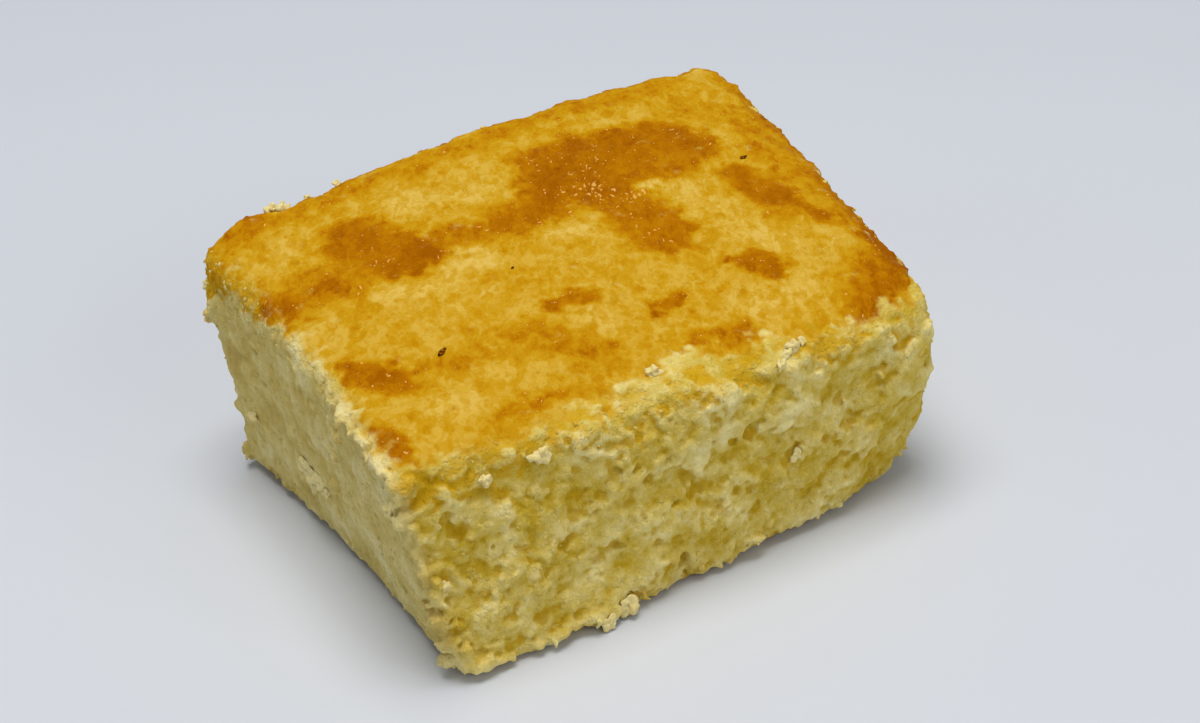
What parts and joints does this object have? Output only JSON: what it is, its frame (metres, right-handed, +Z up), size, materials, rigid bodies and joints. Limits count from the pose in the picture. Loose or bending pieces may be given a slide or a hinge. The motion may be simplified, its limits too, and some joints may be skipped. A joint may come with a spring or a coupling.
{
  "type": "cornbread square",
  "caption": "Thick hand-cut square of yellow cornbread with a patchy golden-brown crust on top, rough cut crumb sides and a flat baked underside.",
  "frame": {"origin": "middle of the bounding box on the flat underside", "axes": "+Z up through the crust; +X along the long front side; +Y from the rough front side to the back"},
  "size_m": [0.0938, 0.0704, 0.0401],
  "materials": {
    "crumb": "matte crumb with a satin golden-brown crust"
  },
  "bodies": {
    "root": {"cornbread": "crumb"}
  },
  "joints": []
}
